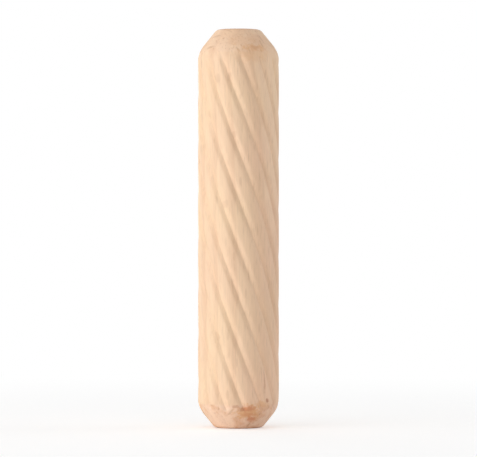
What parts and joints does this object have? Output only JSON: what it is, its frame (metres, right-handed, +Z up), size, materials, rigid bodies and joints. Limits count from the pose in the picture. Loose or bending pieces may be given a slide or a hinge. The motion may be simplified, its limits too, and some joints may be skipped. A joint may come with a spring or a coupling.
{
  "type": "dowel pin",
  "caption": "Round wooden dowel pin with chamfered ends and shallow glue grooves winding round its shank.",
  "frame": {"origin": "centre of the lower flat end", "axes": "+Z up the pin's axis, from the lower flat end to the upper one"},
  "size_m": [0.0082, 0.0082, 0.04],
  "materials": {
    "beech": "bare, milled, dull"
  },
  "bodies": {
    "root": {"dowel_pin": "beech"}
  },
  "joints": []
}
